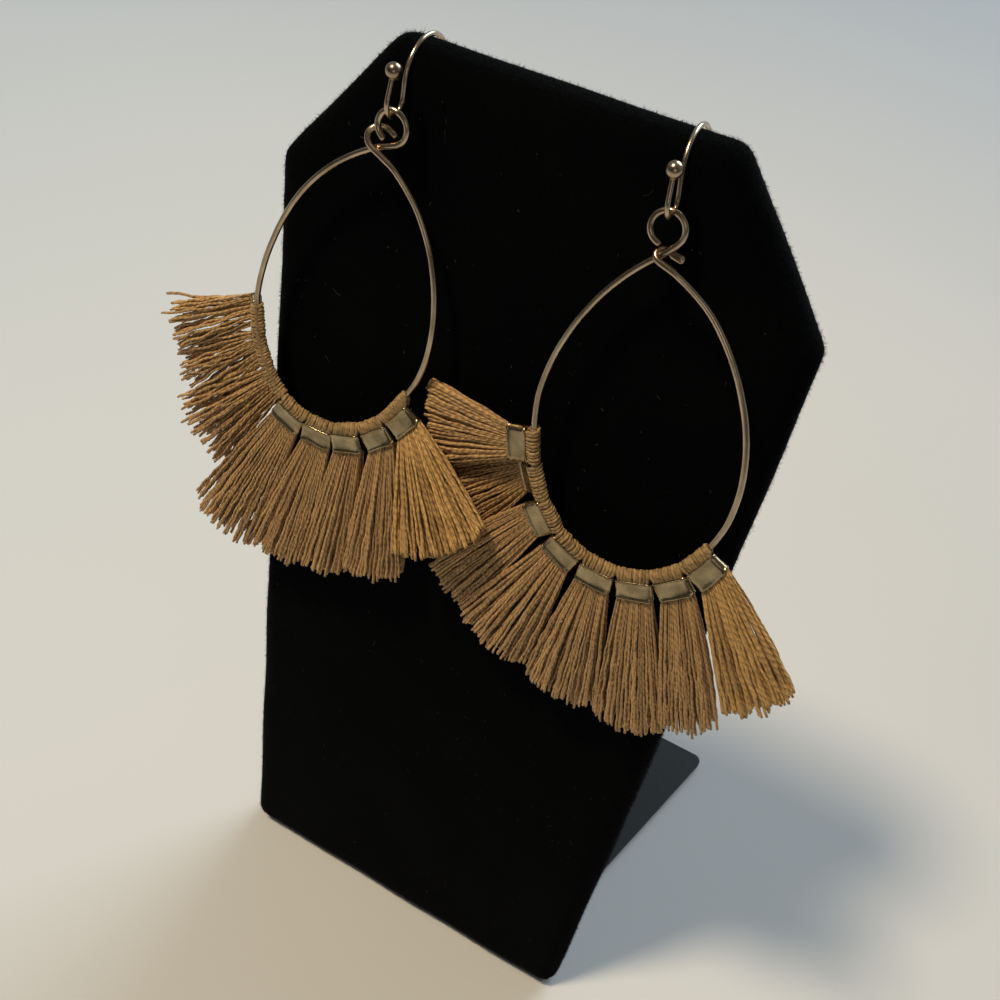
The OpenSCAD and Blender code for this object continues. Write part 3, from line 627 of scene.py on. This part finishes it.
def bandPath(count):
    # Places and outward normals round a rounded oblong, from the middle of its back round to there again
    hw, hd, r = clampSize["w"] / 2, clampSize["d"] / 2, clampSize["corner"]
    places, normals = [], []
    for cx, cz, start in ((1, -1, -90), (1, 1, 0), (-1, 1, 90), (-1, -1, 180)):
        angle = np.radians(np.linspace(start, start + 90, 12))
        n = np.stack([np.cos(angle), np.sin(angle)], axis=1)
        places.append(np.array([cx * (hw - r), cz * (hd - r)]) + r * n)
        normals.append(n)
    gap = clampSize["butt"]
    places = np.concatenate([[[gap, -hd]]] + places + [[[-gap, -hd]]])
    normals = np.concatenate([[[0, -1]]] + normals + [[[0, -1]]])
    length = np.concatenate([[0], np.cumsum(np.linalg.norm(np.diff(places, axis=0), axis=1))])
    at = np.linspace(0, length[-1], count)
    out = [np.stack([np.interp(at, length, v[:, k]) for k in range(2)], axis=1) for v in (places, normals)]
    return out[0], out[1] / np.linalg.norm(out[1], axis=1, keepdims=True)


def clampShell(side, i, rng):
    c = clampSize
    places, normals = bandPath(110)
    up, out = np.array(c["up"]), np.array(c["out"])
    inner = np.arange(len(up)) >= len(up) - c["innerPoints"]
    half = c["h"] / 2
    broad = np.clip(np.abs(normals[:, 1]) * 1.35 - 0.35, 0, 1)
    dish = c["dish"] * (0.7 + 0.6 * rng.random())
    depth = np.where(inner[None], -c["wall"], (out[None] - 1) * (dish * broad[:, None] + 0.05))
    wave = 0.035 * np.sin(up[None] * 2.1 + places[:, :1] * rng.uniform(0.8, 1.6) + rng.uniform(0, 6)) - 0.035
    depth = depth + wave * broad[:, None] * ~inner[None]
    taper = 1 - rng.uniform(0.015, 0.05) * (1 + up) / 2
    skew = rng.uniform(-0.05, 0.05)
    x = (places[:, None, 0] + normals[:, None, 0] * depth) * taper[None]
    rounded = c["round"] * np.clip(np.abs(x) / (c["w"] / 2) * 5 - 4, 0, 1) ** 2
    bow = rng.uniform(-0.1, 0.1) * np.cos(x * rng.uniform(0.6, 1.3) + rng.uniform(0, 3))
    y = up[None] * (half - 0.06 - rounded) + skew * x * 0.5 + bow
    z = places[:, None, 1] + normals[:, None, 1] * depth
    place, on, outWay, off = tasselFrame(side, i)
    middle = place + (clampOff - c["seat"]) * outWay
    points = middle + x[..., None] * on - y[..., None] * outWay + z[..., None] * off
    return ringsToShell(toFace(side, points)[None], [0.5], np.linspace(0, 1, len(places))[None])


rng = np.random.default_rng(seed)
for name, side in sides.items():
    for i in range(1, 9):
        band = clampShell(side, i, rng)
        node = "clamp_" + name + "_" + str(i)
        makePiece("clamp_" + name + "_band_" + str(i), band, clampMaterial, [node])
print("clamps ready")


# Tassels. Each layer: how far it lies from the fan's middle, in half thicknesses, and the gap between
# its threads
tassel = {"l": 23, "t": 4.2, "lift": 4, "rest": 0.4, "headW": 4.5, "headT": 0.76, "bow": 0.05, "flare": 0.8,
          "rRoot": 0.14, "rTip": 0.215, "locks": 7, "lockPull": 0.4,
          "layers": [(0.95, 0.34), (0.55, 0.38), (0.1, 0.45), (-0.45, 0.55), (-0.92, 0.55)]}
board = {"w": 70.4, "h": 161, "t": 7, "cornerW": 14.6, "cornerH": 18.1, "edge": 3.3, "corner": 2.8}


def fanShell(side, i, rng):
    hangA, hangB, lengthShare, liftShare, thickShare, _, loose = side["fans"][i - 1]
    place, on, out, off = tasselFrame(side, i)
    reach = tassel["l"] * lengthShare
    thick = tassel["t"] * thickShare
    spread = tassel["headW"] * 0.6 + reach * math.radians(hangB - hangA)
    v, q = [], []
    for n, (layer, gap) in enumerate(tassel["layers"]):
        count = int(np.clip(round(spread / gap), 10, 26) * (0.75 if loose > 2 else 1))
        even = (np.arange(count) + 0.5 + 0.5 * (n % 2)) / (count + 0.5)
        v.append(even + rng.normal(0, 0.3 / count, count))
        q.append(np.full(count, layer) + rng.normal(0, 0.08, count))
    v, q = (np.clip(np.concatenate(v), 0, 1) - 0.5) * 1.05 + 0.5, np.clip(np.concatenate(q), -1, 1)
    count = len(v)
    t = np.linspace(0, 1, max(16, int(reach / 0.55)))[None]
    uneven = rng.normal(0, 0.004 + 0.006 * loose, count)
    length = reach * (1 + uneven - 0.04 * np.abs(2 * v - 1) ** 3 + 0.018 * np.sin(v * 21 + i))
    stray = rng.random(count) < 0.004 * loose
    hang = np.radians(hangA * (1 - v) + hangB * v - side["lean"])
    hang = hang + np.where(stray, rng.normal(0, 0.1, count), rng.normal(0, 0.012 * loose, count))

    def wave(size, low, high):
        turns = t * reach / rng.uniform(low, high, (count, 1)) + rng.random((count, 1))
        return size * rng.uniform(0.5, 1.3, (count, 1)) * np.sin(2 * math.pi * turns) * np.clip(t * 2.2, 0, 1)

    # In the hoop's plane: out along the clamp, then over to the way the thread hangs
    root = place + rootOff * out + ((v - 0.5) * tassel["headW"])[:, None] * on
    tip = root[:, :2] + length[:, None] * np.stack([np.sin(hang), -np.cos(hang)], axis=1)
    across = np.stack([np.cos(hang), np.sin(hang)], axis=1)
    mid = (root[:, :2] + tip) / 2 + (tassel["bow"] * length)[:, None] * out[:2]
    mid = mid + tassel["flare"] / loose * (v - 0.5)[:, None] * across
    flat = ((1 - t) ** 2)[..., None] * root[:, None, :2] + (2 * t * (1 - t))[..., None] * mid[:, None]
    flat = flat + (t ** 2)[..., None] * tip[:, None]
    # Locks: threads lean together towards the middle of their lock halfway down
    lock = np.round(v * tassel["locks"])
    pull = (lock / tassel["locks"] - v) * tassel["lockPull"]
    width = tassel["headW"] + t * (spread - tassel["headW"])
    bunched = pull[:, None] * np.sin(math.pi * np.clip(t * 1.1, 0, 1)) * width
    flat = flat + (bunched + wave(0.05 + 0.02 * loose, 4, 8) + wave(0.025, 1.4, 2.2))[..., None] * across[:, None]
    # Off the plane: to tips that rest on the velvet or are raised off it, within the fan's own thickness
    middleHang = math.radians((hangA + hangB) / 2 - side["lean"])
    middleTip = (place + rootOff * out)[:2] + reach * np.array([math.sin(middleHang), -math.cos(middleHang)])
    rest = tassel["rest"] + thick / 2 + tassel["lift"] * liftShare
    tipOff = (rest - toFace(side, inSpace(middleTip))[2]) / math.cos(math.radians(side["tip"]))
    swell = np.interp(t, [0, 0.3, 0.65, 1], [0, 0.55, 0.9, 1])
    halfAt = tassel["headT"] / 2 * 0.85 * (1 - swell) + (thick / 2 - 0.2) * swell
    halfAt = halfAt * (1 - 0.5 * np.abs(2 * v[:, None] - 1) ** 2.5 * swell)
    z = root[:, 2:] * (1 - t) + tipOff * t
    deep = q[:, None] * halfAt + wave(0.04 + 0.01 * loose, 3, 6) + wave(0.02, 1.3, 2)
    away = np.clip(t / 0.3, 0, 1)[..., None]
    path = inSpace(flat, z) + deep[..., None] * (away * np.array([0, 0, 1]) + (1 - away) * off)
    # The head, inside the clamp
    head = root[:, None] - np.array([2.2, 1.1])[None, :, None] * out
    head = head + (q * tassel["headT"] / 2 * 0.85)[:, None, None] * off
    path = toFace(side, np.concatenate([head, path], axis=1))
    # Clear of the velvet, whose edges are round
    past = np.clip(np.abs(path[..., 0]) - (board["w"] / 2 - board["edge"]), 0, board["edge"])
    velvetZ = np.sqrt(board["edge"] ** 2 - past ** 2) - board["edge"]
    onBoard = np.abs(path[..., 0]) < board["w"] / 2
    path[..., 2] = np.where(onBoard, np.maximum(path[..., 2], velvetZ + 0.3), path[..., 2])
    radius = tassel["rRoot"] + (tassel["rTip"] - tassel["rRoot"]) * np.clip(t * 1.6, 0, 1)
    radius = np.concatenate([np.full((1, 2), tassel["rRoot"]), radius], axis=1) * rng.uniform(0.85, 1.12, (count, 1))
    radius[:, -1] *= 0.9
    # Tone for each thread: a painted highlight that makes some locks lighter than others, a random part for each
    # thread, and lighter towards the tips
    tone = 0.45 + 0.2 * np.sin(lock[:, None] * 2.4 + i) + rng.normal(0, 0.24, (count, 1))
    tone = np.clip(tone, 0, 1) + 0.3 * np.clip((t - 0.86) / 0.14, 0, 1)
    return tubes(path, radius, 5, np.concatenate([tone[:, :1], tone[:, :1], tone], axis=1))


for name, side in sides.items():
    for i in range(1, 9):
        fan = fanShell(side, i, np.random.default_rng(seed + 100 * len(name) + i))
        # The more golden copy on the last fan of each side is painted light
        material = litGoldenMaterial if i == 8 else tasselMaterial  # the last one of each side is more golden
        node = "tassel_" + name + "_" + str(i)
        makePiece("tassel_" + name + "_threads_" + str(i), fan, material, [node])
print("tassels ready")


# Board: the padded outline with round edges, remeshed fine, a little uneven. Its velvet stands a little
# past its outline at the left, right and top, in mm
velvetPast = {"left": 0.35, "right": 0.75, "top": 0.7}


def outlineRing(inset, out):
    w, h = board["w"] / 2, board["h"]
    cut = h - board["cornerH"]
    corners = [(w, 0), (w, cut), (w - board["cornerW"], h), (board["cornerW"] - w, h), (-w, cut), (-w, 0)]
    ring = []
    for n, p in enumerate(corners):
        p = np.array(p, float)
        before = p - np.array(corners[n - 1])
        after = np.array(corners[(n + 1) % 6]) - p
        before, after = before / np.linalg.norm(before), after / np.linalg.norm(after)
        first = math.atan2(before[1], before[0]) - math.pi / 2
        bend = math.acos(np.clip(before @ after, -1, 1))
        r = board["corner"]
        centre = p - r * np.array([math.cos(first), math.sin(first)]) - r * math.tan(bend / 2) * before
        for k in range(11):
            angle = first + bend * k / 10
            q = centre + (r - inset) * np.array([math.cos(angle), math.sin(angle)])
            ring.append((q[0], q[1], out))
    return np.array(ring)


edgeTurn = np.linspace(0, math.pi / 2, 11)
edge = board["edge"]
ringsBack = [outlineRing(edge * (1 - math.sin(a)), edge * (1 - math.cos(a)) - board["t"]) for a in edgeTurn]
ringsFront = [outlineRing(edge * (1 - math.sin(a)), edge * (math.cos(a) - 1)) for a in edgeTurn[::-1]]
boardRings = np.array(ringsBack + ringsFront)
boardShell = ringsToShell(boardRings[None], [0.5], np.linspace(0, 1, len(boardRings))[None])
boardPiece = makePiece("stand_board_velvet", boardShell, velvetMaterial, ["stand_board"])
remesh = boardPiece.modifiers.new("remesh", "REMESH")
remesh.mode = "VOXEL"
remesh.voxel_size = 0.0009
remesh.use_smooth_shade = True
dressed = bpy.data.meshes.new_from_object(boardPiece.evaluated_get(bpy.context.evaluated_depsgraph_get()))
boardPiece.modifiers.clear()
boardPiece.data = dressed
dressed.name = "stand_board_velvet"
if not dressed.materials:
    dressed.materials.append(velvetMaterial)
places = np.zeros(len(dressed.vertices) * 3)
dressed.vertices.foreach_get("co", places)
places = places.reshape(-1, 3)
normals = np.zeros(len(dressed.vertices) * 3)
dressed.vertices.foreach_get("normal", normals)
normals = normals.reshape(-1, 3)
mm = places * 1000
uneven = 0.05 * np.sin(mm[:, 0] * 0.31 + 1.1 * np.sin(mm[:, 2] * 0.17))
uneven = uneven + 0.05 * np.sin(mm[:, 2] * 0.23 + 1.7 * np.sin(mm[:, 0] * 0.11)) - 0.1
onFace = (mm - faceStart) @ faceTurn
pastX = np.interp(onFace[:, 0], [-35, -20, 20, 35], [-velvetPast["left"], 0, 0, velvetPast["right"]])
pastX = (pastX * np.clip(onFace[:, 1] / 60, 0, 1))[:, None] * faceTurn[:, 0]
pastY = np.interp(onFace[:, 1], [100, 155], [0, velvetPast["top"]])[:, None] * faceTurn[:, 1]
places = places + (normals * uneven[:, None] + pastX + pastY) / 1000
dressed.vertices.foreach_set("co", places.ravel())
dressed.update()

# Pile: short hairs, thick on the edges and sparse on the face, in mm, drooping a little
pile = {"hairs": 90000, "short": 0.3, "long": 0.7, "halfWidth": 0.03, "sunk": 0.2, "spread": 0.45, "splay": 0.42,
        "droop": 0.25, "onEdges": 9.0}
rng = np.random.default_rng(seed + 7)
hairs = pile["hairs"]
facing = normals @ faceTurn[:, 2]
weight = np.where(np.abs(facing) < 0.97, pile["onEdges"], 1.0)
weight /= weight.sum()
base = rng.choice(len(places), hairs, p=weight)
rootAt = places[base] + rng.normal(0, pile["spread"] / 1000, (hairs, 3))
rootAt -= normals[base] * ((rootAt - places[base]) * normals[base]).sum(axis=1, keepdims=True)
lay = normals[base] + rng.normal(0, pile["splay"], (hairs, 3)) + np.array([0, 0, -pile["droop"]])
lay /= np.linalg.norm(lay, axis=1, keepdims=True)
hairLength = rng.uniform(pile["short"], pile["long"], hairs)[:, None] / 1000
acrossHair = np.cross(lay, rng.normal(0, 1, (hairs, 3)))
acrossHair /= np.linalg.norm(acrossHair, axis=1, keepdims=True)
acrossHair *= pile["halfWidth"] / 1000
low = rootAt - normals[base] * pile["sunk"] / 1000
hairPoints = np.stack([low - acrossHair, low + acrossHair, low + lay * hairLength], axis=1).reshape(-1, 3)
hairPoints[:, 2] = np.maximum(hairPoints[:, 2], 0)
hairMesh = bpy.data.meshes.new("velvet_pile")
hairMesh.vertices.add(len(hairPoints))
hairMesh.vertices.foreach_set("co", hairPoints.ravel())
hairMesh.loops.add(hairs * 3)
hairMesh.loops.foreach_set("vertex_index", np.arange(hairs * 3, dtype=np.int32))
hairMesh.polygons.add(hairs)
hairMesh.polygons.foreach_set("loop_start", (np.arange(hairs) * 3).astype(np.int32))
hairMesh.update(calc_edges=True)
hairMesh.materials.append(pileMaterial)
pilePiece = bpy.data.objects.new("velvet_pile", hairMesh)
bpy.context.collection.objects.link(pilePiece)
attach(pilePiece, "root")

# Lint caught in the pile of the face: short curled fibres, a few of them longer, in mm
lint = {"count": 330, "short": 0.15, "long": 0.6, "longShare": 0.08, "longTimes": 2.6, "curl": 1.1,
        "rLow": 0.02, "rHigh": 0.045}
count = lint["count"]
lintX = rng.uniform(-32, 32, count)
lintY = rng.uniform(6, 157, count)
pastCutX = (np.abs(lintX) - (board["w"] / 2 - board["cornerW"])) / board["cornerW"]
pastCutY = (lintY - (board["h"] - board["cornerH"])) / board["cornerH"]
lintX = np.where(pastCutX + pastCutY > 0.8, lintX * 0.5, lintX)
lintLength = rng.uniform(lint["short"], lint["long"], count)
lintLength = lintLength * np.where(rng.random(count) < lint["longShare"], lint["longTimes"], 1)
lintWay = rng.uniform(0, math.pi, count)
curl = rng.normal(0, lint["curl"], count)
step = np.linspace(-0.5, 0.5, 7)
angle = lintWay[:, None] + curl[:, None] * step[None]
lintPath = np.stack([
    lintX[:, None] + lintLength[:, None] * step * np.cos(angle),
    lintY[:, None] + lintLength[:, None] * step * np.sin(angle),
    0.12 + 0.15 * rng.random((count, 1)) + 0.1 * np.sin(step * 5 + lintWay[:, None])], axis=2)
lintRadius = rng.uniform(lint["rLow"], lint["rHigh"], (count, 1)) * np.ones((1, 7))
lintShades = np.clip(rng.normal(0.35, 0.25, count), 0, 1)
makePiece("lint", tubes(lintPath, lintRadius, 4, lintShades), lintMaterial)
print("board ready")

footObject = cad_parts["stand_foot"]
footObject.data.materials.clear()
footObject.data.materials.append(footMaterial)

# Floor: pale and warm, with painted shade that makes it cooler and darker towards the left and the back
floor = {"warm": (0.75, 0.735, 0.71, 1), "warmDark": (0.7, 0.69, 0.67, 1), "left": (0.63, 0.67, 0.7, 1),
         "back": (0.54, 0.58, 0.62, 1), "leftFrom": 0.0, "leftTo": -0.3, "backFrom": 0.18, "backTo": 0.42}
floorMaterial = newMaterial("floor", {"Roughness": 0.7, "Specular IOR Level": 0.2})
floorTree = floorMaterial.node_tree
floorPlace = objectPlace(floorTree)
floorCloud = noiseOf(floorTree, floorPlace, 9.0, 2.0)
floorSplit = addNode(floorTree, "ShaderNodeSeparateXYZ", {}, {0: floorPlace})
shadeTowardsLeft = remap(floorTree, floorSplit.outputs[0], floor["leftFrom"], floor["leftTo"])
shadeTowardsBack = remap(floorTree, floorSplit.outputs[1], floor["backFrom"], floor["backTo"])
floorToneAndShade = mixColour(floorTree, floorCloud, floor["warm"], floor["warmDark"])
# Painted shade: cooler and darker towards the left and the back
floorToneAndShade = mixColour(floorTree, shadeTowardsLeft, floorToneAndShade, floor["left"])
floorToneAndShade = mixColour(floorTree, shadeTowardsBack, floorToneAndShade, floor["back"])
floorTree.links.new(floorToneAndShade, floorTree.nodes["Principled BSDF"].inputs["Base Color"])
floorMesh = bpy.data.meshes.new("floor")
floorMesh.from_pydata([(-3, -3, -0.0002), (3, -3, -0.0002), (3, 3, -0.0002), (-3, 3, -0.0002)], [], [(0, 1, 2, 3)])
floorMesh.materials.append(floorMaterial)
floorObject = bpy.data.objects.new("floor", floorMesh)
bpy.context.collection.objects.link(floorObject)
floorObject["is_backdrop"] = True


# Lights: a warm lamp above the left, a wide cool window behind, and a weak bounce from the front
lights = {
    "lamp": {"place": (-0.235, -0.09, 0.75), "target": (0.02, 0, 0.06), "size": 0.12, "power": 3.75,
             "colour": (1, 0.85, 0.62)},
    "window": {"place": (0.6, 2.6, 1.6), "target": (0, 0, 0.05), "size": 2.2, "power": 60, "colour": (0.8, 0.93, 1.05)},
    "bounce": {"place": (0.5, -0.9, 0.6), "target": (0, 0, 0.07), "size": 0.5, "power": 0.45,
               "colour": (1.0, 0.93, 0.85)},
}
for name, light in lights.items():
    data = bpy.data.lights.new(name, "AREA")
    data.shape = "DISK"
    data.size = light["size"]
    data.energy = light["power"]
    data.color = light["colour"]
    lamp = bpy.data.objects.new(name, data)
    bpy.context.collection.objects.link(lamp)
    way = Vector(light["target"]) - Vector(light["place"])
    lamp.rotation_euler = way.to_track_quat("-Z", "Y").to_euler()
    lamp.location = light["place"]

# The room all round: brighter and cooler towards the window
room = {"dark": (0.2, 0.19, 0.17, 1), "windowSide": (0.78, 0.9, 0.98, 1), "strength": 0.25}
world = bpy.data.worlds.new("room")
bpy.context.scene.world = world
world.use_nodes = True
worldTree = world.node_tree
background = worldTree.nodes["Background"]
worldPlace = addNode(worldTree, "ShaderNodeTexCoord")
worldSplit = addNode(worldTree, "ShaderNodeSeparateXYZ", {}, {0: worldPlace.outputs["Generated"]})
towardsWindow = remap(worldTree, worldSplit.outputs[1], -0.6, 0.9)
roomColour = mixColour(worldTree, towardsWindow, room["dark"], room["windowSide"])
worldTree.links.new(roomColour, background.inputs["Color"])
background.inputs["Strength"].default_value = room["strength"]
bpy.context.scene.view_settings.view_transform = "Standard"
print("stage ready")

boxes = {"cad": cadBox, "dressed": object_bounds()}
boxes = {key: [list(map(float, corner)) for corner in box] for key, box in boxes.items()}
